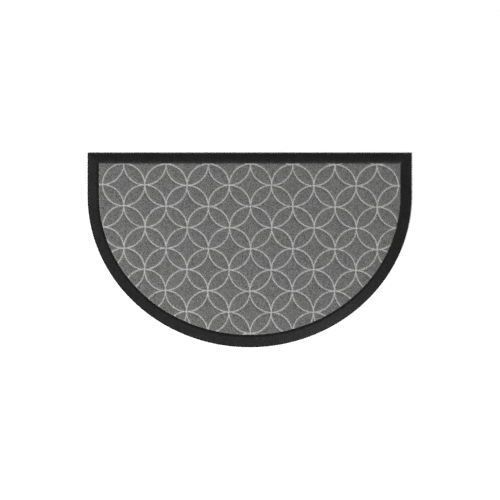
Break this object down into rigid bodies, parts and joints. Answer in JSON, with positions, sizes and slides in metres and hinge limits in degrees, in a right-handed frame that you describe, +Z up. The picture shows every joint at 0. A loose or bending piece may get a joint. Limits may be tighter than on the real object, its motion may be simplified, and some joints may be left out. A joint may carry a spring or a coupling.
{
  "type": "half round doormat",
  "caption": "Flat half round doormat: a felt face with pressed overlapping circles, set in a rubber base with a bevelled border.",
  "frame": {"origin": "under the middle of the mat's bounding box, on the floor", "axes": "+X along the straight edge, +Y towards the straight edge that lies against the door, +Z up"},
  "size_m": [0.75, 0.45, 0.008],
  "materials": {
    "rubber": "moulded black rubber, matt with a faint sheen",
    "felt": "grey needle-punched felt, pressed lighter and smoother along the circles"
  },
  "bodies": {
    "root": {"rubber_base": "rubber", "felt_face": "felt"}
  },
  "joints": []
}
